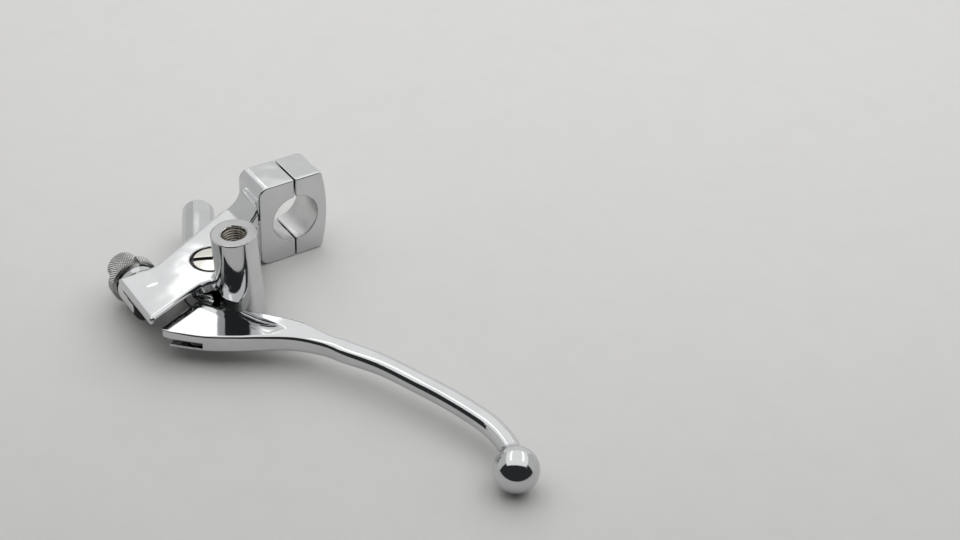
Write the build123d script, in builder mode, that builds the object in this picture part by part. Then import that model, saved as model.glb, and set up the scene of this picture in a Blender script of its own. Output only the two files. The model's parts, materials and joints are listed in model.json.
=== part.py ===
from build123d import *
import math
import os

# Motorcycle clutch lever with its cast perch, in millimetres.
# The origin is the centre of the handlebar bore. X runs along the bar towards the
# ball end of the lever, Y runs from the perch to the removable cap, Z is up.

# ---- driving dimensions ----

# Handlebar clamp
bar_radius = 11.1
clamp_length = 19.2
clamp_height = 40.4
perch_depth = 17.7
cap_depth = 16.0
cap_shoulder = 13.8
split_gap = 0.6
clamp_corner = 4.6
clamp_edge = 0.8
bolt_offset = 14.9
bolt_radius = 2.5
bolt_clearance = 0.2
bolt_head_radius = 4.25
bolt_head_height = 5.0
bolt_end = -13.5
counterbore_radius = 4.6
counterbore_floor = 8.0
washer_thickness = 1.2

# Arm, an open slot between two cheeks
arm_top = 2.0
slot_top = -3.2
slot_bottom = -12.8
arm_bottom = -16.2
nose_underside = -1.4
nose_roof = 0.4
nose_wall = 1.7
arm_edge = 1.1
cheek_end = -61.0
far_front = -95.0
far_side = 70.0

# Lever pivot
pivot_x = 20.9
pivot_y = -46.7
pocket_radius = 12.0
recess_radius = 9.2
recess_floor = -0.2
screw_head_radius = 8.0
screw_head_top = 2.4
screw_slot_angle = 62
shank_radius = 4.0
pivot_thread_radius = 3.0
pivot_end = -19.8
bush_radius = 6.0
bush_bore = 4.05
thrust_washer_thickness = 0.5
thrust_washer_radius = 8.5
pivot_washer_thickness = 0.8
pivot_washer_radius = 6.2
pivot_nut_flat = 5.0
driver_slot_width = 1.9
driver_slot_depth = 1.3

# Mirror boss, leaning away from the rider
mirror_x = 39.5
mirror_y = -45.0
mirror_top = 26.0
mirror_radius = 9.6
mirror_lean = 3.6
mirror_thread_radius = 4.4
mirror_thread_depth = 21.0
mirror_chamfer = 1.2

# Cable adjuster, its axis along X
adjuster_y = -76.3
adjuster_z = -7.4
adjuster_boss_radius = 9.0
adjuster_boss_start = 9.4
adjuster_boss_end = 25.0
adjuster_thread_radius = 5.0
adjuster_head_radius = 6.9
adjuster_head_start = -6.8
adjuster_head_end = 0.6
adjuster_thread_end = 21.5
cable_seat_radius = 3.6
cable_seat_end = 4.0
adjuster_socket_start = -2.6
adjuster_screw_start = -2.3
cable_bore_radius = 1.6
cable_slot_width = 2.6
lock_ring_radius = 10.6
lock_ring_start = 2.9
lock_ring_end = 8.4
lock_ring_hub = 6.8
lock_ring_turn = 84
cable_hole_radius = 1.3

# Lever
lever_top = -4.0
lever_bottom = -12.0
hub_radius = 11.0
cam_flat = 7.6
cam_tilt = 12.5
cam_width = 16.4
blade_width = 8.6
blade_height = 7.8
ball_radius = 9.08
ball_centre = (182.5, -3.2, -11.0)
slit_top = -8.0
slit_bottom = -10.6
nipple_x = 47.0
nipple_y = -66.9
nipple_radius = 3.6
nipple_roof = -6.0

# Switch boss, a level tube that reaches the hub from behind the arm
switch_mouth = (-27.0, -30.0, -8.0)
switch_heading = -26.5
switch_boss_radius = 7.2
switch_boss_length = 40.0
switch_bore_radius = 4.8
switch_bore_depth = 28.0
snout_bore_radius = 2.7
plunger_radius = 1.6
plunger_tip = 43.66
plunger_start = 20.0
plunger_disc_radius = 3.2
plunger_disc_thickness = 1.4
contact_radius = 3.0
contact_thickness = 0.6
switch_face = 3.0
plug_socket_radius = 3.7
plug_socket_depth = 7.0
chamber_radius = 3.5
chamber_start = 12.5
chamber_length = 13.0
spring_start = 12.8
spring_length = 6.3
spring_pitch = 2.1
spring_radius = 2.4
wire_radius = 0.3
set_screw_place = 15.0
set_screw_radius = 2.0
set_screw_length = 1.8

# ---- shared planes and places ----

clearance = 0.05
level = (0, 0, 1)
pivot = (pivot_x, pivot_y)
switch_direction = (
    math.cos(math.radians(switch_heading)),
    math.sin(math.radians(switch_heading)),
    0,
)
switch_plane = Plane(origin=switch_mouth, x_dir=level, z_dir=switch_direction)
mirror_tilt = math.radians(mirror_lean)
mirror_axis = (0, -math.sin(mirror_tilt), math.cos(mirror_tilt))
mirror_plane = Plane(origin=(mirror_x, mirror_y, mirror_top), x_dir=(1, 0, 0), z_dir=mirror_axis)
adjuster_plane = Plane(origin=(0, adjuster_y, adjuster_z), x_dir=(0, 1, 0), z_dir=(1, 0, 0))
set_screw_middle = switch_plane.offset(set_screw_place).origin
set_screw_plane = Plane(origin=set_screw_middle, x_dir=switch_direction, z_dir=(0, 0, -1))
cap_plane = Plane(origin=(0, 0, 0), x_dir=(1, 0, 0), z_dir=(0, 1, 0))

os.makedirs("parts", exist_ok=True)


# ---- perch body ----

with BuildPart() as perch_body:
    # Arm outline, the full depth of the slot's two cheeks
    with BuildSketch(Plane.XY.offset(arm_bottom)) as arm_outline:
        with BuildLine():
            back = Line((-4.6, -36.4), (12.4, -68.6))
            shoulder = ThreePointArc((-9.6, -21.0), (-8.4, -28.4), back @ 0)
            neck = ThreePointArc((44.0, -37.0), (25.0, -25.8), (9.2, -19.0))
            Polyline(
                back @ 1,
                (13.4, -72.0),
                (13.4, -86.2),
                (46.3, -86.6),
                (35.3, -60.2),
                (35.2, -52.0),
                neck @ 0,
            )
            Polyline(neck @ 1, (9.2, -8.0), (-9.6, -8.0), shoulder @ 0)
        make_face()
        fillet(arm_outline.vertices().sort_by_distance((13.4, -72.0))[0], radius=4.0)
        fillet(arm_outline.vertices().sort_by_distance((13.4, -86.2))[0], radius=1.5)
        fillet(arm_outline.vertices().sort_by_distance((46.3, -86.6))[0], radius=1.2)
    extrude(amount=arm_top - arm_bottom)
    fillet(perch_body.faces().sort_by(Axis.Z)[-1].edges(), radius=arm_edge)

    # Lever slot, open towards the nose
    with BuildSketch(Plane.XY.offset(slot_bottom)):
        with Locations(pivot):
            Circle(pocket_radius)
        with BuildLine():
            Polyline(
                pivot,
                (33.0, -51.5),
                (far_side, -51.5),
                (far_side, far_front),
                (adjuster_boss_end, far_front),
                (adjuster_boss_end, -68.0),
                (16.8, -64.6),
                (13.6, -57.8),
                close=True,
            )
        make_face()
    extrude(amount=slot_top - slot_bottom, mode=Mode.SUBTRACT)

    # The nose is a hood: a thin roof behind a front wall, open towards the lever
    with BuildSketch(Plane.XY.offset(slot_bottom)):
        with BuildLine():
            Polyline(
                (27.0, -64.5),
                (far_side, -64.5),
                (far_side, nose_wall - 86.5),
                (27.0, nose_wall - 86.5),
                close=True,
            )
        make_face()
    extrude(amount=nose_roof - slot_bottom, mode=Mode.SUBTRACT)

    # The underside is open in front of the lower cheek
    with BuildSketch(Plane.XY.offset(arm_bottom)):
        with BuildLine():
            Polyline(
                (-5.0, cheek_end),
                (far_side, cheek_end),
                (far_side, far_front),
                (-5.0, far_front),
                close=True,
            )
        make_face()
    extrude(amount=nose_underside - arm_bottom, mode=Mode.SUBTRACT)

    # Clamp half
    with BuildSketch(Plane.YZ.offset(-clamp_length / 2)):
        with BuildLine():
            Polyline(
                (-split_gap / 2, -clamp_height / 2),
                (-perch_depth, -clamp_height / 2),
                (-perch_depth, clamp_height / 2),
                (-split_gap / 2, clamp_height / 2),
                close=True,
            )
        block = make_face()
        fillet(block.vertices().group_by(Axis.X)[0], radius=clamp_corner)
    extrude(amount=clamp_length)
    front_rim = perch_body.edges().filter_by_position(Axis.X, clamp_length / 2, clamp_length / 2)
    fillet(front_rim.filter_by_position(Axis.Z, arm_top, clamp_height), radius=clamp_edge)

    # Neck, a concave web up the back of the clamp
    with BuildSketch(Plane.YZ.offset(-clamp_length / 2)):
        with BuildLine():
            sweep_up = ThreePointArc((-28.0, 2.0), (-21.4, 5.9), (-17.7, 12.6))
            Polyline(sweep_up @ 1, (-14.0, 12.6), (-14.0, -3.0), (-28.0, -3.0), sweep_up @ 0)
        make_face()
    extrude(amount=clamp_length - 1.0)

    # Mirror boss
    with BuildSketch(mirror_plane):
        Circle(mirror_radius)
    extrude(amount=-(mirror_top - arm_bottom) / math.cos(mirror_tilt) + 0.6)

    # Cable adjuster boss
    with BuildSketch(adjuster_plane.offset(adjuster_boss_start)):
        Circle(adjuster_boss_radius)
    extrude(amount=adjuster_boss_end - adjuster_boss_start)

    # Switch boss
    with BuildSketch(switch_plane):
        Circle(switch_boss_radius)
    extrude(amount=switch_boss_length)

    # Hub pocket again, through both bosses
    with BuildSketch(Plane.XY.offset(slot_bottom)):
        with Locations(pivot):
            Circle(pocket_radius)
    extrude(amount=slot_top - slot_bottom, mode=Mode.SUBTRACT)

    # Handlebar bore and the tapped holes of the clamp
    with BuildSketch(Plane.YZ.offset(-clamp_length)):
        Circle(bar_radius)
    extrude(amount=2 * clamp_length, mode=Mode.SUBTRACT)
    with BuildSketch(cap_plane.offset(bolt_end - 1.0)):
        with Locations((0, bolt_offset), (0, -bolt_offset)):
            Circle(bolt_radius + clearance)
    extrude(amount=-bolt_end + 1.0, mode=Mode.SUBTRACT)

    # Pivot: recess for the head, shank hole, tapped hole
    with BuildSketch(Plane.XY.offset(recess_floor)):
        with Locations(pivot):
            Circle(recess_radius)
    extrude(amount=arm_top - recess_floor + 0.6, mode=Mode.SUBTRACT)
    with BuildSketch(Plane.XY.offset(slot_top - 1.0)):
        with Locations(pivot):
            Circle(shank_radius + clearance)
    extrude(amount=arm_top - slot_top + 1.0, mode=Mode.SUBTRACT)
    with BuildSketch(Plane.XY.offset(arm_bottom - 1.0)):
        with Locations(pivot):
            Circle(pivot_thread_radius + clearance)
    extrude(amount=slot_bottom - arm_bottom + 2.0, mode=Mode.SUBTRACT)

    # Threaded hole of the mirror boss, with a lead-in chamfer
    with BuildSketch(mirror_plane.offset(-mirror_thread_depth)):
        Circle(mirror_thread_radius)
    extrude(amount=mirror_thread_depth, mode=Mode.SUBTRACT)
    with BuildSketch(mirror_plane):
        Circle(mirror_thread_radius + mirror_chamfer)
    extrude(amount=-mirror_chamfer, taper=45, mode=Mode.SUBTRACT)

    # Cable adjuster thread, and the slot that lets the cable in from below
    with BuildSketch(adjuster_plane.offset(adjuster_boss_start - 1.0)):
        Circle(adjuster_thread_radius + clearance)
    extrude(amount=adjuster_boss_end - adjuster_boss_start - 1.5, mode=Mode.SUBTRACT)
    with BuildSketch(adjuster_plane.offset(adjuster_boss_end - 6.0)):
        Circle(cable_hole_radius)
    extrude(amount=8.0, mode=Mode.SUBTRACT)
    with BuildSketch(Plane.XY.offset(adjuster_z - adjuster_boss_radius - 1.0)):
        with Locations((17.0, adjuster_y)):
            Rectangle(20.0, cable_slot_width)
    extrude(amount=adjuster_boss_radius + 1.0, mode=Mode.SUBTRACT)

    # Switch bore, its snout and the set screw's tapped hole
    with BuildSketch(switch_plane.offset(-1.0)):
        Circle(switch_bore_radius)
    extrude(amount=switch_bore_depth + 1.0, mode=Mode.SUBTRACT)
    with BuildSketch(switch_plane.offset(switch_bore_depth - 1.0)):
        Circle(snout_bore_radius)
    extrude(amount=16.0, mode=Mode.SUBTRACT)
    with BuildSketch(set_screw_plane.offset(switch_bore_radius - 1.0)):
        Circle(set_screw_radius + clearance)
    extrude(amount=4.0, mode=Mode.SUBTRACT)

perch_body.part.label = "perch_body"
export_step(perch_body.part, "parts/perch_body.step")


# ---- clamp cap, with sunk seats for its two screws ----

with BuildPart() as clamp_cap:
    with BuildSketch(Plane.YZ.offset(-clamp_length / 2)):
        with BuildLine():
            crown = ThreePointArc(
                (cap_shoulder, -clamp_height / 2), (cap_depth, 0), (cap_shoulder, clamp_height / 2)
            )
            Polyline(
                crown @ 1,
                (split_gap / 2, clamp_height / 2),
                (split_gap / 2, -clamp_height / 2),
                crown @ 0,
            )
        cap_face = make_face()
        fillet(cap_face.vertices().group_by(Axis.X)[-1], radius=2.4)
    extrude(amount=clamp_length)
    with BuildSketch(Plane.YZ.offset(-clamp_length)):
        Circle(bar_radius)
    extrude(amount=2 * clamp_length, mode=Mode.SUBTRACT)
    fillet(clamp_cap.faces().filter_by(Axis.X).edges(), radius=clamp_edge)
    with BuildSketch(cap_plane):
        with Locations((0, bolt_offset), (0, -bolt_offset)):
            Circle(bolt_radius + bolt_clearance)
    extrude(amount=cap_depth, mode=Mode.SUBTRACT)
    with BuildSketch(cap_plane.offset(counterbore_floor)):
        with Locations((0, bolt_offset), (0, -bolt_offset)):
            Circle(counterbore_radius)
    extrude(amount=cap_depth, mode=Mode.SUBTRACT)
clamp_cap.part.label = "clamp_cap"
export_step(clamp_cap.part, "parts/clamp_cap.step")


# ---- clamp screws and their spring washers ----

for side, height in (("upper", bolt_offset), ("lower", -bolt_offset)):
    screw_plane = Plane(origin=(0, 0, height), x_dir=(1, 0, 0), z_dir=(0, 1, 0))
    under_head = counterbore_floor + washer_thickness

    with BuildPart() as clamp_bolt:
        with BuildSketch(screw_plane.offset(bolt_end)):
            Circle(bolt_radius)
        extrude(amount=under_head - bolt_end)
        with BuildSketch(screw_plane.offset(under_head)):
            Circle(bolt_head_radius)
        extrude(amount=bolt_head_height)
        fillet(clamp_bolt.faces().sort_by(Axis.Y)[-1].edges(), radius=0.5)
        with BuildSketch(screw_plane.offset(under_head + bolt_head_height)):
            RegularPolygon(radius=2.0, side_count=6, major_radius=False)
        extrude(amount=-2.6, mode=Mode.SUBTRACT)
    clamp_bolt.part.label = f"clamp_bolt_{side}"
    export_step(clamp_bolt.part, f"parts/clamp_bolt_{side}.step")

    with BuildPart() as bolt_washer:
        with BuildSketch(screw_plane.offset(counterbore_floor)):
            Circle(bolt_head_radius - 0.1)
            Circle(bolt_radius + bolt_clearance, mode=Mode.SUBTRACT)
            with Locations(((bolt_radius + bolt_head_radius) / 2, 0)):
                Rectangle(3.0, 0.8, rotation=0, mode=Mode.SUBTRACT)
        extrude(amount=washer_thickness)
    bolt_washer.part.label = f"bolt_washer_{side}"
    export_step(bolt_washer.part, f"parts/bolt_washer_{side}.step")


# ---- pivot: slotted shoulder screw, bush, thrust washers, washer and lock nut ----

with BuildPart() as pivot_screw:
    with BuildSketch(Plane.XY.offset(recess_floor)):
        with Locations(pivot):
            Circle(screw_head_radius)
    extrude(amount=screw_head_top - recess_floor)
    fillet(pivot_screw.faces().sort_by(Axis.Z)[-1].edges(), radius=0.7)
    with BuildSketch(Plane.XY.offset(slot_bottom)):
        with Locations(pivot):
            Circle(shank_radius)
    extrude(amount=recess_floor - slot_bottom)
    with BuildSketch(Plane.XY.offset(pivot_end)):
        with Locations(pivot):
            Circle(pivot_thread_radius)
    extrude(amount=slot_bottom - pivot_end)
    with BuildSketch(Plane.XY.offset(screw_head_top)):
        with Locations(pivot):
            Rectangle(3 * screw_head_radius, driver_slot_width, rotation=screw_slot_angle)
    extrude(amount=-driver_slot_depth, mode=Mode.SUBTRACT)
pivot_screw.part.label = "pivot_screw"
export_step(pivot_screw.part, "parts/pivot_screw.step")

with BuildPart() as pivot_bush:
    with BuildSketch(Plane.XY.offset(lever_bottom)):
        with Locations(pivot):
            Circle(bush_radius)
            Circle(bush_bore, mode=Mode.SUBTRACT)
    extrude(amount=lever_top - lever_bottom)
pivot_bush.part.label = "pivot_bush"
export_step(pivot_bush.part, "parts/pivot_bush.step")

for side, seat in (("upper", slot_top - thrust_washer_thickness), ("lower", slot_bottom)):
    with BuildPart() as thrust_washer:
        with BuildSketch(Plane.XY.offset(seat)):
            with Locations(pivot):
                Circle(thrust_washer_radius)
                Circle(shank_radius + clearance, mode=Mode.SUBTRACT)
        extrude(amount=thrust_washer_thickness)
    thrust_washer.part.label = f"thrust_washer_{side}"
    export_step(thrust_washer.part, f"parts/thrust_washer_{side}.step")

with BuildPart() as pivot_washer:
    with BuildSketch(Plane.XY.offset(arm_bottom - pivot_washer_thickness)):
        with Locations(pivot):
            Circle(pivot_washer_radius)
            Circle(pivot_thread_radius + 0.2, mode=Mode.SUBTRACT)
    extrude(amount=pivot_washer_thickness)
pivot_washer.part.label = "pivot_washer"
export_step(pivot_washer.part, "parts/pivot_washer.step")

with BuildPart() as pivot_nut:
    with BuildSketch(Plane.XY.offset(pivot_end + 0.1)):
        with Locations(pivot):
            RegularPolygon(radius=pivot_nut_flat, side_count=6, major_radius=False)
            Circle(pivot_thread_radius + clearance, mode=Mode.SUBTRACT)
    extrude(amount=arm_bottom - pivot_washer_thickness - pivot_end - 0.1)
    chamfer(pivot_nut.edges().group_by(Axis.Z)[0].filter_by(GeomType.LINE), length=0.3)
pivot_nut.part.label = "pivot_nut"
export_step(pivot_nut.part, "parts/pivot_nut.step")


# ---- lever: hub, nose, blade and ball ----

with BuildPart() as lever_blade:
    # Root plate around the hub and out to the start of the blade
    with BuildSketch(Plane.XY.offset(lever_bottom)) as root_outline:
        with BuildLine():
            front = Spline(
                (49.6, -80.4),
                (59.4, -70.2),
                (66.6, -59.3),
                (71.3, -51.1),
                (78.5, -39.9),
                (87.5, -31.8),
            )
            rear = Spline(
                (84.0, -24.9),
                (71.9, -30.6),
                (61.1, -39.3),
                (51.0, -49.0),
                (44.2, -54.2),
                (37.0, -54.8),
                (31.2, -50.6),
            )
            Polyline(
                rear @ 1,
                pivot,
                (15.5, -56.1),
                (25.4, -61.6),
                (36.6, -61.0),
                (45.2, -80.8),
                (47.2, -82.5),
                front @ 0,
            )
            Line(front @ 1, rear @ 0)
        make_face()
        fillet(root_outline.vertices().sort_by_distance((47.2, -82.5))[0], radius=1.2)
        with Locations(pivot):
            Circle(hub_radius)
    extrude(amount=lever_top - lever_bottom)

    # Blade, drooping a little towards the ball
    with BuildLine() as blade_line:
        Spline(
            (80.0, -32.4, -8.0),
            (95.0, -23.0, -8.0),
            (107.9, -15.6, -8.0),
            (125.0, -8.6, -8.3),
            (136.2, -4.1, -9.0),
            (148.1, -0.2, -9.8),
            (157.8, 2.0, -10.4),
            (166.2, 2.2, -10.7),
            (174.5, 0.6, -10.9),
            (180.5, -2.2, -11.0),
        )
    start = blade_line.line @ 0
    blade_start = Plane(origin=start, x_dir=level, z_dir=blade_line.line % 0)
    with BuildSketch(blade_start):
        RectangleRounded(blade_height, blade_width, 3.2)
    sweep(path=blade_line.line)
    with Locations(ball_centre):
        Sphere(ball_radius)

    # Cam flat that pushes the switch plunger in as the lever swings out
    with BuildSketch(Plane.XY.offset(lever_bottom)):
        with Locations(Location((pivot_x, pivot_y, 0), (0, 0, switch_heading + 180 + cam_tilt))):
            with Locations((cam_flat + 5.0, 0)):
                Rectangle(10.0, cam_width)
    extrude(amount=lever_top - lever_bottom, mode=Mode.SUBTRACT)

    # Bush seat
    with BuildSketch(Plane.XY.offset(lever_bottom)):
        with Locations(pivot):
            Circle(bush_radius)
    extrude(amount=lever_top - lever_bottom, mode=Mode.SUBTRACT)

    # Nipple pocket from below, and the slit that lets the cable swing into it
    with BuildSketch(Plane.XY.offset(lever_bottom)):
        with Locations((nipple_x, nipple_y)):
            Circle(nipple_radius)
    extrude(amount=nipple_roof - lever_bottom, mode=Mode.SUBTRACT)
    with BuildSketch(Plane.XY.offset(slit_bottom)):
        with BuildLine():
            Polyline(
                (59.6, -71.6),
                (51.5, -63.8),
                (44.5, -63.0),
                (36.0, -70.0),
                (42.0, -90.0),
                (60.0, -90.0),
                close=True,
            )
        make_face()
    extrude(amount=slit_top - slit_bottom, mode=Mode.SUBTRACT)

    # The lip below the slit stands back from the nose's corner
    with BuildSketch(Plane.XY.offset(lever_bottom)):
        with BuildLine():
            Polyline((36.0, -70.0), (43.0, -70.0), (48.9, -80.4), (48.9, -90.0), (36.0, -90.0), close=True)
        make_face()
    extrude(amount=slit_top - lever_bottom, mode=Mode.SUBTRACT)
lever_blade.part.label = "lever_blade"
export_step(lever_blade.part, "parts/lever_blade.step")


# ---- cable adjuster and its lock ring ----

with BuildPart() as adjuster_head:
    with BuildSketch(adjuster_plane.offset(adjuster_head_start)):
        Circle(adjuster_head_radius)
    extrude(amount=adjuster_head_end - adjuster_head_start)
    chamfer(adjuster_head.edges().group_by(Axis.X)[0], length=0.8)
    chamfer(adjuster_head.edges().group_by(Axis.X)[-1], length=0.8)
    with BuildSketch(adjuster_plane.offset(adjuster_head_start)):
        Circle(cable_seat_radius)
    extrude(amount=adjuster_head_end - adjuster_head_start, mode=Mode.SUBTRACT)
    with BuildSketch(adjuster_plane.offset(adjuster_socket_start)):
        Circle(adjuster_thread_radius + clearance)
    extrude(amount=adjuster_head_end - adjuster_socket_start, mode=Mode.SUBTRACT)
    with BuildSketch(Plane.XY.offset(adjuster_z)):
        with Locations((adjuster_head_start, adjuster_y)):
            Rectangle(30.0, cable_slot_width)
    extrude(amount=-2 * adjuster_head_radius, mode=Mode.SUBTRACT)
adjuster_head.part.label = "adjuster_head"
export_step(adjuster_head.part, "parts/adjuster_head.step")

with BuildPart() as adjuster_screw:
    with BuildSketch(adjuster_plane.offset(adjuster_screw_start)):
        Circle(adjuster_thread_radius)
    extrude(amount=adjuster_thread_end - adjuster_screw_start)
    chamfer(adjuster_screw.edges().group_by(Axis.X)[-1], length=0.6)
    with BuildSketch(adjuster_plane.offset(adjuster_screw_start)):
        Circle(cable_seat_radius)
    extrude(amount=cable_seat_end - adjuster_screw_start, mode=Mode.SUBTRACT)
    with BuildSketch(adjuster_plane.offset(cable_seat_end - 1.0)):
        Circle(cable_bore_radius)
    extrude(amount=adjuster_thread_end, mode=Mode.SUBTRACT)
    with BuildSketch(Plane.XY.offset(adjuster_z)):
        with Locations((adjuster_thread_end / 2, adjuster_y)):
            Rectangle(40.0, cable_slot_width)
    extrude(amount=-2 * adjuster_thread_radius, mode=Mode.SUBTRACT)
adjuster_screw.part.label = "adjuster_screw"
export_step(adjuster_screw.part, "parts/adjuster_screw.step")

with BuildPart() as adjuster_lock_ring:
    with BuildSketch(adjuster_plane.offset(lock_ring_start)):
        Circle(lock_ring_radius)
    extrude(amount=lock_ring_end - lock_ring_start)
    chamfer(adjuster_lock_ring.edges().group_by(Axis.X)[0], length=0.6)
    chamfer(adjuster_lock_ring.edges().group_by(Axis.X)[-1], length=0.6)
    with BuildSketch(adjuster_plane.offset(lock_ring_end)):
        Circle(lock_ring_hub)
    extrude(amount=adjuster_boss_start - lock_ring_end - 0.3)
    with BuildSketch(adjuster_plane.offset(lock_ring_start)):
        Circle(adjuster_thread_radius + clearance)
    extrude(amount=adjuster_boss_start - lock_ring_start, mode=Mode.SUBTRACT)
    with BuildSketch(adjuster_plane.offset(lock_ring_start)):
        with Locations(Location((0, 0, 0), (0, 0, lock_ring_turn))):
            with Locations((lock_ring_radius, 0)):
                Rectangle(2 * lock_ring_radius, cable_slot_width)
    extrude(amount=adjuster_boss_start - lock_ring_start, mode=Mode.SUBTRACT)
adjuster_lock_ring.part.label = "adjuster_lock_ring"
export_step(adjuster_lock_ring.part, "parts/adjuster_lock_ring.step")


# ---- interlock switch, inside the tubular boss ----

with BuildPart() as switch_body:
    with BuildSketch(switch_plane.offset(switch_face)):
        Circle(switch_bore_radius - clearance)
    extrude(amount=switch_bore_depth - switch_face - 0.3)
    with BuildSketch(switch_plane.offset(switch_bore_depth - 0.3)):
        Circle(snout_bore_radius - clearance)
    extrude(amount=10.0)
    with BuildSketch(switch_plane.offset(switch_face)):
        Circle(plug_socket_radius)
    extrude(amount=plug_socket_depth, mode=Mode.SUBTRACT)
    with BuildSketch(switch_plane.offset(chamber_start)):
        Circle(chamber_radius)
    extrude(amount=chamber_length, mode=Mode.SUBTRACT)
    with BuildSketch(switch_plane.offset(chamber_start + chamber_length - 0.5)):
        Circle(plunger_radius + clearance)
    extrude(amount=16.0, mode=Mode.SUBTRACT)
switch_body.part.label = "switch_body"
export_step(switch_body.part, "parts/switch_body.step")

with BuildPart() as switch_plunger:
    with BuildSketch(switch_plane.offset(plunger_start)):
        Circle(plunger_radius)
    extrude(amount=plunger_tip - plunger_start)
    fillet(switch_plunger.edges().sort_by(Axis.X)[-1], radius=1.3)
    with BuildSketch(switch_plane.offset(plunger_start)):
        Circle(plunger_disc_radius)
    extrude(amount=plunger_disc_thickness)
switch_plunger.part.label = "switch_plunger"
export_step(switch_plunger.part, "parts/switch_plunger.step")

with BuildPart() as switch_contact:
    with BuildSketch(switch_plane.offset(plunger_start - contact_thickness)):
        Circle(contact_radius)
        Circle(contact_radius - 1.8, mode=Mode.SUBTRACT)
    extrude(amount=contact_thickness)
switch_contact.part.label = "switch_contact"
export_step(switch_contact.part, "parts/switch_contact.step")

with BuildPart() as switch_spring:
    with BuildLine() as coil:
        Helix(pitch=spring_pitch, height=spring_length, radius=spring_radius)
    with BuildSketch(Plane(origin=coil.line @ 0, z_dir=coil.line % 0)):
        Circle(wire_radius)
    sweep(path=coil.line)
switch_spring.part.locate(switch_plane.offset(spring_start).location)
switch_spring.part.label = "switch_spring"
export_step(switch_spring.part, "parts/switch_spring.step")

for side, offset_y in (("left", -1.7), ("right", 1.7)):
    with BuildPart() as switch_terminal:
        with BuildSketch(switch_plane.offset(5.0)):
            with Locations((0, offset_y)):
                Rectangle(2.8, 0.8)
        extrude(amount=5.0)
    switch_terminal.part.label = f"switch_terminal_{side}"
    export_step(switch_terminal.part, f"parts/switch_terminal_{side}.step")

with BuildPart() as switch_set_screw:
    with BuildSketch(set_screw_plane.offset(switch_bore_radius)):
        Circle(set_screw_radius)
    extrude(amount=set_screw_length)
    with BuildSketch(set_screw_plane.offset(switch_bore_radius + set_screw_length)):
        RegularPolygon(radius=1.0, side_count=6, major_radius=False)
    extrude(amount=-1.2, mode=Mode.SUBTRACT)
switch_set_screw.part.label = "switch_set_screw"
export_step(switch_set_screw.part, "parts/switch_set_screw.step")
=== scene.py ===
import json
import math

import bpy
import numpy as np
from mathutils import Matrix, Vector


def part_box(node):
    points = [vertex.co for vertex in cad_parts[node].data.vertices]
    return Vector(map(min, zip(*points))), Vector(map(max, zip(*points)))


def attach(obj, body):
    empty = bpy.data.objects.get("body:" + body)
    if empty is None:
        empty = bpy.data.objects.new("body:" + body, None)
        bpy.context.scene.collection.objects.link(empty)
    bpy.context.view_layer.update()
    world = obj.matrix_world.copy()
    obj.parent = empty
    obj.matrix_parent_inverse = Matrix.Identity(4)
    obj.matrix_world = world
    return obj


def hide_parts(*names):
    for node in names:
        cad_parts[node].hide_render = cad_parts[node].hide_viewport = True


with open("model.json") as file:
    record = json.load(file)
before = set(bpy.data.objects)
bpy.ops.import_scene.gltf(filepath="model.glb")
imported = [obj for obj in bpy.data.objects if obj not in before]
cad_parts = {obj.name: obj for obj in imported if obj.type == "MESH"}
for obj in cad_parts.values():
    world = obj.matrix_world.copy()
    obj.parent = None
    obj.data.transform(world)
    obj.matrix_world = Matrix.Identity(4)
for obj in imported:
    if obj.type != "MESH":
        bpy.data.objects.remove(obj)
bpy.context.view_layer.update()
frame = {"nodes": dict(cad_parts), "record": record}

# Shapes are worked out in millimetres, in the frame of the model, and become metres
# when their mesh is made. A shape is a function of x, y and z that gives the distance
# to its surface, negative inside.

MM = 0.001
record = frame["record"]
mounts = {m["name"]: m for m in record["mounts"]}
joints = {j["name"]: j for j in record["behaviour"]["joints"]}


def box_mm(node):
    """The lowest and highest corners of a CAD node, in millimetres."""
    low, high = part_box(node)
    return np.array(low) / MM, np.array(high) / MM


# ---- driving dimensions, from the frame where it says them ----

bar_radius = mounts["handlebar_clamp"]["dims"]["r_mm"]
thread_radius = mounts["mirror_thread"]["dims"]["r_mm"]
nipple_radius = mounts["cable_nipple_pocket"]["dims"]["r_mm"]
cable_seat_radius = mounts["cable_seat"]["dims"]["r_mm"]
pivot_x, pivot_y = (v / MM for v in joints["lever_pivot"]["pos_m"][:2])
cap_low, cap_high = box_mm("clamp_cap")
lever_low, lever_high = box_mm("lever_blade")
screw_low, screw_high = box_mm("pivot_screw")


# ---- distance functions ----

def polygon(x, y, points):
    """Distance to a closed outline in the plane."""
    points = np.asarray(points, float)
    nearest = None
    inside = False
    for a, b in zip(points, np.roll(points, -1, axis=0)):
        ex, ey = b - a
        if ex == ey == 0:
            continue
        wx = x - a[0]
        wy = y - a[1]
        t = np.clip((wx * ex + wy * ey) / (ex * ex + ey * ey), 0, 1)
        d = (wx - t * ex) ** 2 + (wy - t * ey) ** 2
        nearest = d if nearest is None else np.minimum(nearest, d)
        above = y >= a[1]
        below = y < b[1]
        left = ex * wy > ey * wx
        inside = inside ^ ((above & below & left) | (~above & ~below & ~left))
    return np.sqrt(nearest) * np.where(inside, -1.0, 1.0)


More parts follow.
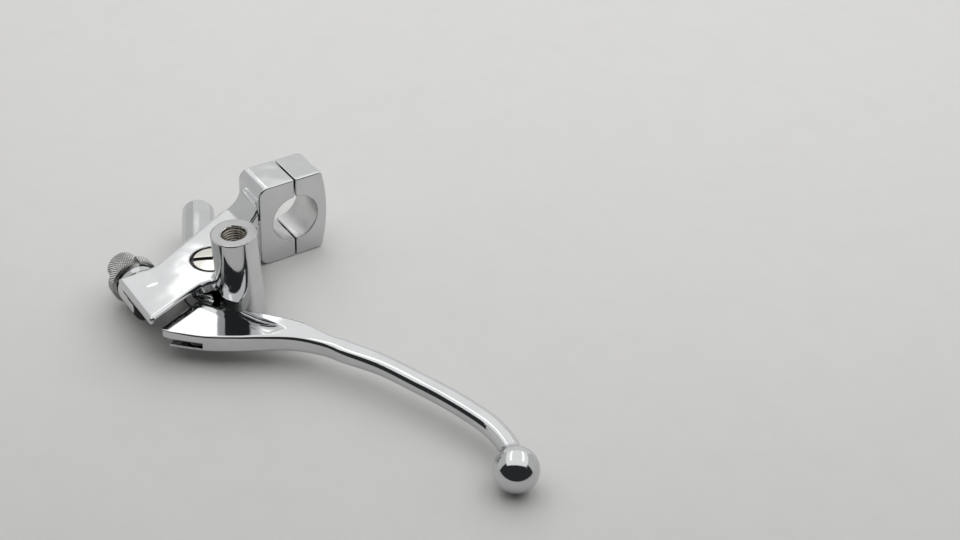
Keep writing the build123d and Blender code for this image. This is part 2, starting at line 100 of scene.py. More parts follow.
def arc(start, middle, end, count=14):
    """Points of the round arc through three points, the end left out."""
    (ax, ay), (bx, by), (cx, cy) = start, middle, end
    d = 2 * (ax * (by - cy) + bx * (cy - ay) + cx * (ay - by))
    sa, sb, sc = ax * ax + ay * ay, bx * bx + by * by, cx * cx + cy * cy
    ux = (sa * (by - cy) + sb * (cy - ay) + sc * (ay - by)) / d
    uy = (sa * (cx - bx) + sb * (ax - cx) + sc * (bx - ax)) / d
    first = math.atan2(ay - uy, ax - ux)
    turn = math.atan2(cy - uy, cx - ux) - first
    through = (math.atan2(by - uy, bx - ux) - first) % math.tau
    turn = turn % math.tau
    if through > turn:
        turn -= math.tau
    radius = math.hypot(ax - ux, ay - uy)
    angles = [first + turn * i / count for i in range(count)]
    return [(ux + radius * math.cos(g), uy + radius * math.sin(g)) for g in angles]


def curve(points, count=12):
    """Points of a smooth curve through the given ones, the last one left out."""
    p = np.asarray(points, float)
    p = np.vstack([2 * p[0] - p[1], p, 2 * p[-1] - p[-2]])
    out = []
    for a, b, c, d in zip(p, p[1:], p[2:], p[3:]):
        for t in np.arange(count) / count:
            out.append(0.5 * (2 * b + (c - a) * t + (2 * a - 5 * b + 4 * c - d) * t * t
                              + (3 * b - a - 3 * c + d) * t ** 3))
    return out


def prism(flat, along, low, high, rim=0.0):
    """A flat outline, as its distance, drawn out from low to high with rounded rims."""
    side = flat + rim
    end = np.abs(along - (low + high) / 2) - (high - low) / 2 + rim
    outside = np.hypot(np.maximum(side, 0), np.maximum(end, 0))
    return np.minimum(np.maximum(side, end), 0) + outside - rim


def joined(a, b, fillet):
    """Two shapes as one, with a round fillet where they meet."""
    near = np.hypot(np.maximum(fillet - a, 0), np.maximum(fillet - b, 0))
    return np.maximum(fillet, np.minimum(a, b)) - near


def carved(a, b, edge=0.25):
    """Shape a without shape b, its new edges rounded."""
    near = np.hypot(np.maximum(edge + a, 0), np.maximum(edge - b, 0))
    return np.minimum(-edge, np.maximum(a, -b)) + near


class Axis:
    """A line in space: how far along it and how far from it points are."""

    def __init__(self, origin, direction):
        self.origin = np.array(origin, float)
        d = np.array(direction, float)
        self.direction = d / np.linalg.norm(d)

    def along(self, x, y, z):
        (ox, oy, oz), (dx, dy, dz) = self.origin, self.direction
        return (x - ox) * dx + (y - oy) * dy + (z - oz) * dz

    def off(self, x, y, z):
        (ox, oy, oz) = self.origin
        t = self.along(x, y, z)
        square = (x - ox) ** 2 + (y - oy) ** 2 + (z - oz) ** 2 - t * t
        return np.sqrt(np.maximum(square, 0))


def rod(x, y, z, axis, radius, low, high, rim=0.0):
    """A round bar on an axis."""
    return prism(axis.off(x, y, z) - radius, axis.along(x, y, z), low, high, rim)


# ---- meshes from distance functions ----

CUBE = [(i, j, k) for i in (0, 1) for j in (0, 1) for k in (0, 1)]
EDGES = [(a, b) for a in range(8) for b in range(a + 1, 8)
         if sum(abs(p - q) for p, q in zip(CUBE[a], CUBE[b])) == 1]


def slope(shape, p, reach=0.02):
    """The distance and its gradient at points."""
    d = shape(*p.T)
    g = np.empty_like(p)
    for i in range(3):
        step = np.zeros(3)
        step[i] = reach
        g[:, i] = (shape(*(p + step).T) - shape(*(p - step).T)) / (2 * reach)
    return d, g


def surface_points(shape, low, high, step):
    """The quads of a shape's surface, by one vertex in each grid cell that it crosses."""
    axes = [np.arange(l - 1.5 * step, h + 2.5 * step, step) for l, h in zip(low, high)]
    x, y, z = np.ix_(*axes)
    d = shape(x, y, z) + np.zeros((len(axes[0]), len(axes[1]), len(axes[2])))
    inside = d < 0
    nx, ny, nz = (n - 1 for n in d.shape)
    corner = [inside[i:i + nx, j:j + ny, k:k + nz] for i, j, k in CUBE]
    some = np.logical_or.reduce(corner)
    every = np.logical_and.reduce(corner)
    cells = np.argwhere(some & ~every)
    ids = np.full((nx, ny, nz), -1)
    ids[tuple(cells.T)] = np.arange(len(cells))
    value = [d[tuple((cells + c).T)] for c in CUBE]
    total = np.zeros((len(cells), 3))
    hits = np.zeros(len(cells))
    for a, b in EDGES:
        da, db = value[a], value[b]
        crosses = (da < 0) != (db < 0)
        t = np.where(crosses, da / np.where(crosses, da - db, 1), 0)[:, None]
        spot = np.array(CUBE[a]) + t * (np.array(CUBE[b]) - np.array(CUBE[a]))
        total += spot * crosses[:, None]
        hits += crosses
    start = np.array([a[0] for a in axes])
    p = start + (cells + total / hits[:, None]) * step
    quads = []
    for k in range(3):
        u, v = (k + 1) % 3, (k + 2) % 3
        ahead = np.moveaxis(inside, k, 0)
        flips = np.argwhere(np.moveaxis(ahead[1:] != ahead[:-1], 0, k))
        flips = flips[(flips[:, u] > 0) & (flips[:, v] > 0)]
        du, dv = np.eye(3, dtype=int)[u], np.eye(3, dtype=int)[v]
        loop = [ids[tuple((flips - s).T)] for s in (du * 0, du, du + dv, dv)]
        face = np.array(loop).T
        out = inside[tuple(flips.T)]
        face[~out] = face[~out][:, ::-1]
        quads.append(face)
    return p, np.vstack(quads)


def settle(shape, p, step, rounds=3):
    """Moves points onto the surface along the gradient."""
    for _ in range(rounds):
        d, g = slope(shape, p)
        size = np.maximum((g * g).sum(1), 0.05)
        move = np.clip(d / size, -step, step)
        p = p - g * move[:, None]
    return p


def relax(p, quads, amount=0.5):
    """Moves each point towards the middle of its neighbours."""
    total = np.zeros_like(p)
    count = np.zeros(len(p))
    for i in range(4):
        a, b = quads[:, i], quads[:, (i + 1) % 4]
        for one, other in ((a, b), (b, a)):
            count += np.bincount(one, minlength=len(p))
            for k in range(3):
                total[:, k] += np.bincount(one, weights=p[other, k], minlength=len(p))
    return p + (total / count[:, None] - p) * amount


def solid(name, shape, low, high, step):
    """A Blender object with the surface of a shape."""
    p, quads = surface_points(shape, np.array(low), np.array(high), step)
    for _ in range(3):
        p = settle(shape, relax(p, quads), step, rounds=1)
    p = settle(shape, p, step)
    _, g = slope(shape, p)
    normals = g / np.maximum(np.linalg.norm(g, axis=1), 1e-9)[:, None]
    mesh = bpy.data.meshes.new(name)
    mesh.from_pydata((p * MM).tolist(), [], quads.tolist())
    mesh.shade_smooth()
    mesh.normals_split_custom_set_from_vertices(normals.tolist())
    made = bpy.data.objects.new(name, mesh)
    bpy.context.scene.collection.objects.link(made)
    return made


# ---- perch body ----

ARM_TOP, SLOT_TOP, SLOT_BOTTOM, ARM_BOTTOM = 2.0, -3.2, -12.8, -16.2
NOSE_ROOF, NOSE_UNDERSIDE = 0.4, -1.4
BOLT_OFFSET = 14.9
MIRROR_RADIUS = 9.6
MIRROR = Axis((39.5, -45.0, 26.0), mounts["mirror_thread"]["axis"])
ADJUSTER = Axis((0, -76.3, -7.4), (1, 0, 0))
RING_TURN = 84
HEAD_RADIUS, RING_RADIUS = 6.8, 10.6
SWITCH = Axis(np.array(mounts["switch_connector"]["pos_m"]) / MM, joints["plunger_slide"]["axis"])
PIVOT = Axis((pivot_x, pivot_y, 0), (0, 0, 1))
BAR = Axis((0, 0, 0), (1, 0, 0))

ARM = (
    [(-4.6, -36.4), (10.0, -64.0)]
    + arc((10.9, -65.8), (12.8, -70.0), (13.4, -74.5), 8)
    + [(13.4, -84.7)]
    + arc((13.5, -85.6), (14.0, -86.0), (14.9, -86.2), 6)
    + [(44.2, -86.5)]
    + arc((44.6, -86.4), (45.2, -85.9), (45.0, -85.0), 6)
    + [(45.6, -84.9), (35.6, -60.4), (35.0, -58.6), (35.2, -52.0)]
    + arc((44.0, -37.0), (25.0, -25.8), (8.6, -19.0), 20)
    + [(8.6, -19.0), (8.6, -8.0), (-9.6, -8.0)]
    + arc((-9.6, -21.0), (-8.4, -28.4), (-4.6, -36.4), 12)
)


def perch_shape(x, y, z):
    # Arm and its rounded rim
    arm = prism(polygon(x, y, ARM), z, ARM_BOTTOM, ARM_TOP, rim=1.7)

    # Lever slot, its higher roof over the nose, and the open underside in front
    mouth = polygon(x, y, [(pivot_x, pivot_y), (33.0, -51.2), (75.0, -51.2), (75.0, -95.0),
                           (25.0, -95.0), (25.0, -68.0), (16.8, -64.6), (13.6, -57.8)])
    slot = np.minimum(mouth, PIVOT.off(x, y, z) - 12.0)
    slot = prism(slot, z, SLOT_BOTTOM, SLOT_TOP, rim=0.6)
    roof = polygon(x, y, [(27.0, -64.5), (70.0, -64.5), (70.0, -84.8), (27.0, -84.8)])
    roof = prism(roof, z, SLOT_BOTTOM, NOSE_ROOF, rim=0.6)
    under = prism(y + 61.0 + 0 * x, z, -30.0, NOSE_UNDERSIDE)
    arm = carved(arm, slot, 0.4)
    arm = carved(arm, under, 0.4)
    arm = carved(arm, roof, 0.35)

    # Clamp half
    block = polygon(y, z, [(-0.3, -20.2)] + arc((-13.1, -20.2), (-16.353, -18.853), (-17.7, -15.6), 8)
                    + [(-17.7, -15.6)] + arc((-17.7, 15.6), (-16.353, 18.853), (-13.1, 20.2), 8)
                    + [(-13.1, 20.2), (-0.3, 20.2)])
    block = prism(block, x, -9.6, 9.6, rim=0.8)

    # Neck, a concave web up the back of the clamp
    web = polygon(y, z, arc((-28.7, 2.0), (-20.9, 5.2), (-17.7, 13.0), 24)
                  + [(-17.7, 13.0), (-12.0, 13.0), (-12.0, -6.0), (-28.7, -6.0)])
    web = prism(web, x, -9.3, 8.5, rim=1.6)
    arm = joined(arm, web, 0.4)
    body = joined(arm, block, 0.6)

    # Mirror, adjuster and switch bosses
    mirror = rod(x, y, z, MIRROR, MIRROR_RADIUS, -42.0, 0.0, rim=0.5)
    body = joined(body, mirror, 2.2)
    boss = rod(x, y, z, ADJUSTER, 9.0, 9.4, 25.0, rim=0.6)
    body = joined(body, boss, 1.0)
    tube = rod(x, y, z, SWITCH, 7.2, 0.0, 40.0, rim=0.9)
    body = joined(body, tube, 1.0)

    # Pockets and holes
    hub = rod(x, y, z, PIVOT, 12.0, SLOT_BOTTOM, SLOT_TOP, rim=0.6)
    body = carved(body, hub, 0.4)
    body = carved(body, BAR.off(x, y, z) - bar_radius, 0.5)
    body = carved(body, rod(x, y, z, PIVOT, 9.2, -0.2, 6.0), 0.35)
    for side in (1, -1):
        bolt = Axis((0, 0, side * BOLT_OFFSET), (0, 1, 0))
        body = carved(body, rod(x, y, z, bolt, 2.6, -14.5, 4.0), 0.3)
    body = carved(body, PIVOT.off(x, y, z) - 3.1 + 0 * z, 0.3)
    hole = MIRROR.off(x, y, z) - thread_radius - 0.55
    cone = MIRROR.off(x, y, z) - thread_radius - 1.2 - MIRROR.along(x, y, z)
    hole = np.maximum(np.minimum(hole, cone * 0.7071), -21.0 - MIRROR.along(x, y, z))
    body = carved(body, hole, 0.2)
    body = carved(body, rod(x, y, z, ADJUSTER, 5.1, 0.0, 23.5), 0.4)
    body = carved(body, rod(x, y, z, ADJUSTER, 1.3, 19.0, 30.0), 0.3)
    slit = prism(np.abs(y + 76.3) - 1.3 + 0 * x, z, -20.0, -7.4)
    slit = np.maximum(slit, x - 27.0)
    body = carved(body, slit, 0.4)
    body = carved(body, rod(x, y, z, SWITCH, 4.8, -2.0, 28.0), 0.5)
    body = carved(body, rod(x, y, z, SWITCH, 2.7, 27.0, 43.0), 0.2)
    screw = Axis(SWITCH.origin + 15 * SWITCH.direction, (0, 0, -1))
    body = carved(body, rod(x, y, z, screw, 2.05, 3.8, 9.0), 0.3)
    return body


low, high = box_mm("perch_body")
perch = solid("perch_casting", perch_shape, low, high, 0.55)
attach(perch, "perch")
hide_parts("perch_body")


# ---- clamp cap ----

CROWN = (
    [(0.3, -20.2)]
    + arc((11.6, -20.2), (13.3, -19.4), (13.95, -17.8), 8)
    + arc((13.95, -17.8), (16.0, 0.0), (13.95, 17.8), 24)
    + arc((13.95, 17.8), (13.3, 19.4), (11.6, 20.2), 8)
    + [(11.6, 20.2), (0.3, 20.2)]
)


def cap_shape(x, y, z):
    body = prism(polygon(y, z, CROWN), x, -9.6, 9.6, rim=0.9)
    body = carved(body, BAR.off(x, y, z) - bar_radius, 0.5)
    for side in (1, -1):
        bolt = Axis((0, 0, side * BOLT_OFFSET), (0, 1, 0))
        body = carved(body, rod(x, y, z, bolt, 2.7, -2.0, 20.0), 0.2)
        body = carved(body, rod(x, y, z, bolt, 4.6, 8.0, 30.0), 0.5)
    return body


cap = solid("clamp_cap_casting", cap_shape, cap_low, cap_high, 0.4)
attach(cap, "perch")
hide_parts("clamp_cap")


# ---- lever ----

BLADE = np.array(curve([(88.0, -27.2), (95.0, -23.0), (107.9, -15.6), (125.0, -8.6), (136.2, -4.1),
                        (148.1, -0.2), (157.8, 2.0), (166.2, 2.2), (174.5, 0.6), (180.5, -2.2)], 5))
BALL = (182.5, -3.2, -11.0)
BALL_RADIUS = 9.08
CAM_TURN = math.radians(166)
LEVER_TOP = -4.0


def blade_side(side, half=4.3):
    """One edge of the blade, from the root to the ball."""
    ahead = np.gradient(BLADE, axis=0)
    ahead /= np.linalg.norm(ahead, axis=1)[:, None]
    across = np.column_stack([-ahead[:, 1], ahead[:, 0]])
    return (BLADE + side * half * across)[4:]


FRONT = curve([(49.6, -80.4), (59.4, -70.2), (66.6, -59.3), (71.3, -51.1), (78.5, -39.9),
               (87.5, -31.8), (94.0, -28.4)], 6)
REAR = curve([(90.2, -20.6), (84.0, -24.9), (71.9, -30.6), (61.1, -39.3), (51.0, -49.0),
              (44.2, -54.2), (37.0, -54.8), (31.2, -50.6)], 6)
NOSE = [(31.2, -50.6), (pivot_x, pivot_y), (15.5, -56.1), (25.4, -61.6), (36.6, -61.0), (40.9, -70.3),
        (44.9, -79.6)] + arc((45.2, -80.4), (46.0, -81.9), (47.6, -82.0), 6)
PLAN = FRONT + list(blade_side(-1)) + list(blade_side(1)[::-1]) + REAR + NOSE


STEP_WALL = [(30.0, -60.5), (38.0, -55.5), (48.7, -50.1), (58.4, -45.8), (66.0, -41.6), (72.5, -38.6)]
STEP_FRONT = [(78.0, -48.0), (50.0, -75.0), (28.0, -66.0)]


def smooth(t):
    t = np.clip(t, 0, 1)
    return t * t * (3 - 2 * t)


def lever_shape(x, y, z):
    # Plan outline, its edges rounder and its height lower towards the ball
    droop = -8.0 - 3.05 * smooth((x - 105) / 80)
    rim = 0.5 + 0.5 * smooth((x - 45) / 12) + 1.4 * smooth((x - 60) / 28)
    rim = rim + 1.4 * smooth((x - 80) / 40)
    half = 4.0 - 0.1 * smooth((x - 80) / 30)
    height = z - droop
    plan = polygon(x, y, PLAN)
    body = prism(plan, height, -half, half, rim)
    hub = rod(x, y, z, PIVOT, 11.0, -12.0, -4.0, rim=0.6)
    body = joined(body, hub, 1.0)
    ball = np.sqrt((x - BALL[0]) ** 2 + (y - BALL[1]) ** 2 + (z - BALL[2]) ** 2) - BALL_RADIUS
    body = joined(body, ball, 2.2)

    # Step along the rear of the root, its foot hollowed out
    away = np.sqrt(nearest_square(x, y, STEP_WALL))
    depth = 1.6 * smooth((73 - x) / 14)
    foot = LEVER_TOP - depth * smooth(1 - away / 6.5)
    foot = foot + 0.8 * smooth((away - 6) / 6) + 1.0 * smooth((x - 70) / 5)
    hollow = carved(polygon(x, y, STEP_WALL + STEP_FRONT), z - foot, 0.7)
    body = carved(body, hollow, 0.35)

    # Cam flat, bush seat, nipple pocket and cable slit
    flat = (x - pivot_x) * math.cos(CAM_TURN) + (y - pivot_y) * math.sin(CAM_TURN)
    flat = np.maximum(7.6 - flat, PIVOT.off(x, y, z) - 16.0)
    body = carved(body, flat, 0.4)
    body = carved(body, PIVOT.off(x, y, z) - 6.0, 0.3)
    nipple = Axis((47.0, -66.9, 0), (0, 0, 1))
    body = carved(body, rod(x, y, z, nipple, nipple_radius, -14.0, -6.0), 0.3)
    slit = polygon(x, y, [(59.6, -71.6), (51.5, -63.8), (44.5, -63.0), (36.0, -70.0), (42.0, -90.0),
            (60.0, -90.0)])
    body = carved(body, prism(slit, z, -10.6, -8.0), 0.25)
    lip = polygon(x, y, [(36.0, -70.0), (43.0, -70.0), (48.9, -80.4), (48.9, -90.0), (36.0, -90.0)])
    body = carved(body, prism(lip, z, -14.0, -8.0), 0.25)
    return body


def nearest_square(x, y, points):
    """Square of the distance to an open line."""
    nearest = None
    for (ax, ay), (bx, by) in zip(points, points[1:]):
        ex, ey = bx - ax, by - ay
        t = np.clip(((x - ax) * ex + (y - ay) * ey) / (ex * ex + ey * ey), 0, 1)
        d = (x - ax - t * ex) ** 2 + (y - ay - t * ey) ** 2
        nearest = d if nearest is None else np.minimum(nearest, d)
    return nearest


lever = solid("lever_forging", lever_shape, lever_low, lever_high, 0.5)
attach(lever, "lever")
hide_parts("lever_blade")


# ---- pivot screw, with a slightly domed head ----

SCREW_TURN = math.radians(62)
SCREW_FLOOR = 0.7


def slot_side(x, y):
    """How far to one side of the driver slot's middle a point is."""
    return (y - pivot_y) * math.cos(SCREW_TURN) - (x - pivot_x) * math.sin(SCREW_TURN)


def screw_shape(x, y, z):
    off = PIVOT.off(x, y, z)
    dome = np.sqrt(off ** 2 + (z + 47.6) ** 2) - 50.0
    head = np.maximum(prism(off - 8.0, z, -0.2, 3.2, rim=0.5), dome)
    shank = prism(off - 4.0, z, -12.8, 0.4, rim=0.3)
    thread = prism(off - 3.0, z, screw_low[2], -12.0, rim=0.4)
    body = np.minimum(np.minimum(head, shank), thread)
    slot = np.maximum(np.abs(slot_side(x, y)) - 1.1, SCREW_FLOOR - z)
    return carved(body, slot, 0.25)


screw = solid("pivot_screw_turned", screw_shape, screw_low, screw_high, 0.3)
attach(screw, "perch")
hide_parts("pivot_screw")


# ---- cable adjuster and lock ring, finely knurled ----

def knurl(x, y, z, teeth, slant=2.1, depth=0.5):
    """How far crossed rolled lines stand in from a round rim."""
    turn = np.arctan2(z - ADJUSTER.origin[2], y - ADJUSTER.origin[1]) * teeth / 2
    one = np.abs(np.sin(turn + x * slant))
    other = np.abs(np.sin(turn - x * slant))
    return depth * (1 - np.minimum(one, other))


def ring_shape(low, high, radius):
    def shape(x, y, z):
        off = ADJUSTER.off(x, y, z)
        body = prism(off - radius + knurl(x, y, z, 5 * radius), x, low, high, rim=0.3)
        bevel = off - radius + 0.9 - np.minimum(x - low, high - x)
        return np.maximum(body, bevel * 0.7071)
    return shape


def cable_slot(x, y, z, turn):
    """The cable's way in, from the axis out along a direction in the plane of Y and Z."""
    c, s = math.cos(math.radians(turn)), math.sin(math.radians(turn))
    dy, dz = y - ADJUSTER.origin[1], z - ADJUSTER.origin[2]
    return np.maximum(np.abs(dy * s - dz * c) - 1.3, -(dy * c + dz * s)) + 0 * x


def head_shape(x, y, z):
    body = ring_shape(-6.8, 0.6, HEAD_RADIUS)(x, y, z)
    body = carved(body, ADJUSTER.off(x, y, z) - cable_seat_radius, 0.3)
    body = carved(body, rod(x, y, z, ADJUSTER, 5.05, -2.6, 2.0), 0.2)
    return carved(body, cable_slot(x, y, z, -90), 0.2)


def ring_nut_shape(x, y, z):
    body = ring_shape(2.9, 8.4, RING_RADIUS)(x, y, z)
    body = np.minimum(body, rod(x, y, z, ADJUSTER, 6.8, 6.0, 9.1, rim=0.2))
    body = carved(body, ADJUSTER.off(x, y, z) - 5.05, 0.2)
    return carved(body, cable_slot(x, y, z, RING_TURN), 0.2)


knurled = []
for node, shape, body, name in (
    ("adjuster_head", head_shape, "adjuster_knob", "adjuster_head_knurled"),
    ("adjuster_lock_ring", ring_nut_shape, "lock_ring", "lock_ring_knurled"),
):
    low, high = box_mm(node)
    piece = solid(name, shape, low, high, 0.2)
    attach(piece, body)
    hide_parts(node)
    knurled.append(piece)


# ---- thread inside the mirror boss ----

def thread_sleeve(name, axis, top, depth, radius, pitch, height, wall):
    """A sleeve whose inner wall is a thread, closed over its outer wall."""
    side = Vector((1, 0, 0)).cross(Vector(axis.direction)).normalized()
    front = side.cross(Vector(axis.direction))
    around = 96
    levels = int(depth / pitch * 10)
    rings = []
    for level in range(levels + 1):
        ring = []
        for i in range(around):
            a = math.tau * i / around
            down = top - depth * level / levels
            phase = (down / pitch + i / around) % 1
            crest = max(0.0, 1 - abs(phase - 0.5) / 0.44)
            crest = min(crest, 0.86)
            fade = min(1.0, (top - down) / pitch)
            r = radius + height * (1 - crest * fade)
            ring.append((a, r, down))
        rings.append(ring)
    rings.append([(a, radius + height + wall, top - depth) for a, _, _ in rings[0]])
    rings.append([(a, radius + height + wall, top) for a, _, _ in rings[0]])
    points = []
    for ring in rings:
        for a, r, down in ring:
            spot = Vector(axis.origin) + Vector(axis.direction) * down
            points.append((spot + (side * math.cos(a) + front * math.sin(a)) * r) * MM)
    faces = []
    count = len(rings)
    for k in range(count):
        for i in range(around):
            j = (i + 1) % around
            n = (k + 1) % count
            faces.append((k * around + i, k * around + j, n * around + j, n * around + i))
    mesh = bpy.data.meshes.new(name)
    mesh.from_pydata(points, [], faces)
    mesh.shade_smooth()
    made = bpy.data.objects.new(name, mesh)
    bpy.context.scene.collection.objects.link(made)
    return made


thread = thread_sleeve("mirror_thread", MIRROR, -0.9, 19.8, thread_radius, 1.25, 0.6, 0.3)
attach(thread, "perch")


# ---- materials, all from noise in the space of each object ----

class Finish:
    """A material with smudges, hair scratches, rubbed edges and a slightly uneven surface."""

    def __init__(self, name, tint, worn, polish, dull, wave=0.0, grain=0.0, metallic=1.0, hair=0.1):
        self.material = bpy.data.materials.new(name)
        self.material.use_nodes = True
        self.tree = self.material.node_tree
        shader = self.tree.nodes["Principled BSDF"]
        shader.inputs["Metallic"].default_value = metallic
        coords = self.tree.nodes.new("ShaderNodeTexCoord")
        self.place = coords.outputs["Object"]
        smudge = self.ranged(self.noise(75, 5), 0.42, 0.7, 0.0, 1.0)
        edges = self.tree.nodes.new("ShaderNodeNewGeometry").outputs["Pointiness"]
        rubbed = self.ranged(edges, 0.52, 0.62, 0.0, 1.0)
        rubbed = self.combined("MULTIPLY", rubbed, self.ranged(self.noise(320, 3), 0.35, 0.65, 0.2, 1.0))
        marks = self.ranged(self.noise(700, 2, (0.07, 1.0, 0.5)), 0.62, 0.76, 0.0, 1.0)
        shade = self.combined("MAXIMUM", self.combined("MULTIPLY", smudge, 0.55), rubbed)
        mix = self.tree.nodes.new("ShaderNodeMix")
        mix.data_type = "RGBA"
        self.link(shade, mix.inputs[0])
        mix.inputs[6].default_value = (*tint, 1)
        mix.inputs[7].default_value = (*worn, 1)
        self.link(mix.outputs[2], shader.inputs["Base Color"])
        rough = self.ranged(shade, 0.0, 1.0, polish, dull)
        rough = self.combined("ADD", rough, self.combined("MULTIPLY", marks, hair))
        self.link(rough, shader.inputs["Roughness"])
        bump = None
        if wave:
            bump = self.bump(self.noise(78, 1), wave, bump)
        if grain:
            bump = self.bump(self.noise(2600, 3), grain, bump)
        bump = self.bump(marks, -0.000003, bump)
        self.link(bump, shader.inputs["Normal"])

    def link(self, out, into):
        self.tree.links.new(out, into)

    def noise(self, scale, detail, stretch=(1.0, 1.0, 1.0)):
        squeeze = self.tree.nodes.new("ShaderNodeMapping")
        squeeze.inputs["Scale"].default_value = stretch
        self.link(self.place, squeeze.inputs["Vector"])
        made = self.tree.nodes.new("ShaderNodeTexNoise")
        made.inputs["Scale"].default_value = scale
        made.inputs["Detail"].default_value = detail
        self.link(squeeze.outputs[0], made.inputs["Vector"])
        return made.outputs[0]

    def ranged(self, value, low, high, to_low, to_high):
        made = self.tree.nodes.new("ShaderNodeMapRange")
        for i, v in enumerate((low, high, to_low, to_high), start=1):
            made.inputs[i].default_value = v
        self.link(value, made.inputs[0])
        return made.outputs[0]

    def combined(self, operation, one, other):
        made = self.tree.nodes.new("ShaderNodeMath")
        made.operation = operation
        for i, v in enumerate((one, other)):
            if isinstance(v, float):
                made.inputs[i].default_value = v
            else:
                self.link(v, made.inputs[i])
        return made.outputs[0]

    def bump(self, height, distance, below):
        made = self.tree.nodes.new("ShaderNodeBump")
        made.inputs["Strength"].default_value = 1.0
        made.inputs["Distance"].default_value = abs(distance)
        made.invert = distance < 0
        self.link(height, made.inputs["Height"])
        if below is not None:
            self.link(below, made.inputs["Normal"])
        return made.outputs[0]


FINISHES = {
    "polished_chrome": Finish(
        "polished_chrome_worn", (0.64, 0.65, 0.655), (0.56, 0.57, 0.575),
        0.06, 0.15, wave=0.00013),
    "plated_screws": Finish(
        "nickel_plate", (0.8, 0.78, 0.72), (0.6, 0.57, 0.51),
        0.16, 0.34, wave=0.0001, grain=0.000006),
    "knurled_alloy": Finish(
        "turned_alloy", (0.8, 0.8, 0.79), (0.66, 0.66, 0.64),
        0.17, 0.36, grain=0.000008),
    "plain_steel": Finish(
        "plain_steel_oiled", (0.34, 0.31, 0.27), (0.24, 0.2, 0.15),
        0.26, 0.48, grain=0.00001),
    "bronze_bush": Finish(
        "sintered_bronze", (0.62, 0.45, 0.24), (0.45, 0.31, 0.16),
        0.3, 0.5, grain=0.00001),
    "brass_contacts": Finish(
        "stamped_brass", (0.76, 0.6, 0.28), (0.55, 0.42, 0.2),
        0.22, 0.42, grain=0.000006),
    "switch_plastic": Finish(
        "moulded_black", (0.03, 0.03, 0.03), (0.06, 0.06, 0.058),
        0.42, 0.62, grain=0.00002, metallic=0.0),
    "thrust_plastic": Finish(
        "thrust_nylon", (0.05, 0.05, 0.05), (0.09, 0.088, 0.085),
        0.38, 0.58, grain=0.00001, metallic=0.0),
}
# Near-black paint for the slot faces under the arm's hood and for the screw's driver slot: painted shade
# where these recesses lie in shadow.
cavity_shade_paint = Finish("painted_cavity_shade", (0.1, 0.1, 0.1), (0.05, 0.048, 0.045), 0.4, 0.6, grain=0.00002)
machined = Finish("machined_face", (0.42, 0.425, 0.42), (0.34, 0.34, 0.335), 0.34, 0.5, grain=0.00001)
cast = Finish("satin_cast_chrome", (0.6, 0.605, 0.6), (0.46, 0.46, 0.455), 0.24, 0.42, grain=0.00002)


def face_finish(piece, finish, chosen):
    """Gives some faces of a piece, picked by their middles in millimetres, another finish."""
    piece.data.materials.append(finish.material)
    last = len(piece.data.materials) - 1
    for face in piece.data.polygons:
        x, y, z = (v / MM for v in face.center)
        if chosen(x, y, z):
            face.material_index = last


for piece in (perch, cap, lever):
    piece.data.materials.append(FINISHES["polished_chrome"].material)
screw.data.materials.append(FINISHES["plated_screws"].material)
thread.data.materials.append(FINISHES["plain_steel"].material)
for piece in knurled:
    piece.data.materials.append(FINISHES["knurled_alloy"].material)
for entry in record["subparts"]:
    node = frame["nodes"][entry["node"]]
    node.data.materials.clear()
    node.data.materials.append(FINISHES[entry["material_slot"]].material)


def boss_top(x, y, z):
    return MIRROR.along(x, y, z) > -0.3 and MIRROR.off(x, y, z) < MIRROR_RADIUS - 0.3


def bar_bore(x, y, z):
    return BAR.off(x, y, z) < bar_radius + 0.4


# Faces of the slot under the arm's hood, which get painted shade.
def under_hood(x, y, z):
    inner = polygon(x, y, ARM) < -1.25
    return inner and ARM_BOTTOM + 1.5 < z < NOSE_ROOF + 0.2 and y < -41.0


# Faces of the screw's driver slot, which get painted shade.
def driver_slot(x, y, z):
    return SCREW_FLOOR - 0.2 < z < SCREW_FLOOR + 1.1 and abs(slot_side(x, y)) < 1.15


# The bands just under the knurled rims, where the grooves lie, which get painted shade.
def knurl_groove_shade(x, y, z):
    off = ADJUSTER.off(x, y, z)
    return RING_RADIUS - 1.2 < off < RING_RADIUS - 0.27 or HEAD_RADIUS - 1.2 < off < HEAD_RADIUS - 0.27


face_finish(perch, machined, boss_top)
face_finish(perch, cast, bar_bore)
# Painted shade inside the slot under the arm's hood.
face_finish(perch, cavity_shade_paint, under_hood)
face_finish(cap, cast, bar_bore)
# Painted shade in the screw's driver slot.
face_finish(screw, cavity_shade_paint, driver_slot)
# Darker grey paint in the knurl grooves: painted shade in the recesses between the ridges.
groove_paint_shade = Finish("knurl_groove_shade", (0.34, 0.34, 0.33), (0.24, 0.235, 0.22), 0.3, 0.5, grain=0.00001)
for piece in knurled:
    face_finish(piece, groove_paint_shade, knurl_groove_shade)


# ---- floor, light and camera ----

TOWARD = Vector((0.7986, -0.6018, 0))
ACROSS = Vector((0.6018, 0.7986, 0))
BALL_SPOT = Vector((BALL[0], BALL[1], 0)) * MM
FLOOR = -0.0202
TABLE_EDGE = 0.055
ROOM = 0.6
DEPTH = -0.9
CEILING = 0.52


def spot(ahead, side, height):
    """A place by how far it is towards the camera from the ball, to the right, and up."""
    return (BALL_SPOT + TOWARD * ahead + ACROSS * side + Vector((0, 0, height)))[:]


def sheet(name, corners, material):
    mesh = bpy.data.meshes.new(name)
    mesh.from_pydata([spot(*c) for c in corners], [], [(0, 1, 2, 3)])
    mesh.materials.append(material)
    made = bpy.data.objects.new(name, mesh)
    bpy.context.scene.collection.objects.link(made)
    return made


def card(name, corners, strength):
    """A glowing wall of the light box, which the camera doesn't see."""
    material = bpy.data.materials.new(name)
    material.use_nodes = True
    tree = material.node_tree
    tree.nodes.clear()
    glow = tree.nodes.new("ShaderNodeEmission")
    glow.inputs["Strength"].default_value = strength
    out = tree.nodes.new("ShaderNodeOutputMaterial")
    tree.links.new(glow.outputs[0], out.inputs[0])
    made = sheet(name, corners, material)
    made.visible_camera = False
    made.visible_shadow = False


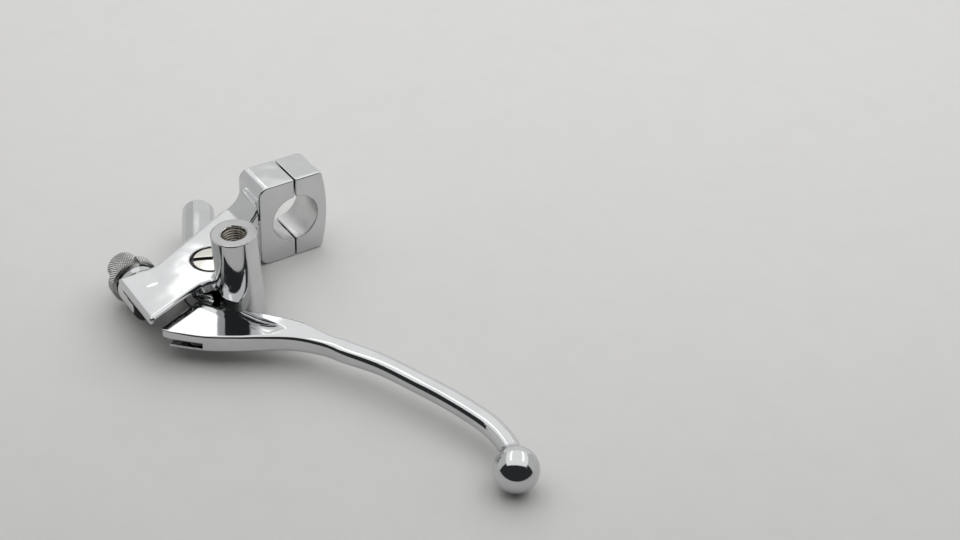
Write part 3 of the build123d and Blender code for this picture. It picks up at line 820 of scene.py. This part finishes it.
def level(left, right, near, far, height):
    return [(near, left, height), (near, right, height), (far, right, height), (far, left, height)]


def wall(start, end):
    return [(*start, FLOOR), (*end, FLOOR), (*end, CEILING), (*start, CEILING)]


card("ceiling", level(-ROOM, ROOM, 0.25, DEPTH, CEILING), 1.05)
card("back", wall((DEPTH, -ROOM), (DEPTH, ROOM)), 0.8)
for name, side in (("left", -1), ("right", 1)):
    middle = side * 0.26
    card("strip_" + name, level(middle - 0.05, middle + 0.05, 0.0, -0.8, CEILING - 0.004), 1.8)
    card("side_" + name, wall((0.08, side * ROOM), (DEPTH, side * ROOM)), 0.6)

paper = Finish("paper", (0.74, 0.735, 0.72), (0.72, 0.715, 0.7), 0.55, 0.65, metallic=0.0, hair=0.0)
sheet("floor", level(-3.0, 3.0, TABLE_EDGE, -3.0, FLOOR), paper.material)
front = sheet("floor_front", level(-3.0, 3.0, 3.0, TABLE_EDGE, FLOOR), paper.material)
front.visible_glossy = False

world = bpy.data.worlds.new("studio")
bpy.context.scene.world = world
world.use_nodes = True
nodes, links = world.node_tree.nodes, world.node_tree.links
room = nodes["Background"]
room.inputs["Color"].default_value = (0.028, 0.03, 0.032, 1)
backdrop = nodes.new("ShaderNodeBackground")
backdrop.inputs["Color"].default_value = (0.75, 0.75, 0.74, 1)
seen = nodes.new("ShaderNodeLightPath").outputs["Is Camera Ray"]
choose = nodes.new("ShaderNodeMixShader")
for i, out in enumerate((seen, room.outputs[0], backdrop.outputs[0])):
    links.new(out, choose.inputs[i])
links.new(choose.outputs[0], nodes["World Output"].inputs[0])

lens = bpy.data.cameras.new("camera")
lens.sensor_width = 36
lens.lens = 56.814
lens.clip_start = 0.01
camera = bpy.data.objects.new("camera", lens)
camera.location = (0.502041212878901, -0.2670182946874238, 0.3829435686629327)
camera.rotation_euler = (0.9385271668434143, -0.05191989988088608, 0.962864339351654)
bpy.context.scene.collection.objects.link(camera)
bpy.context.scene.camera = camera
bpy.context.scene.view_settings.view_transform = "Standard"
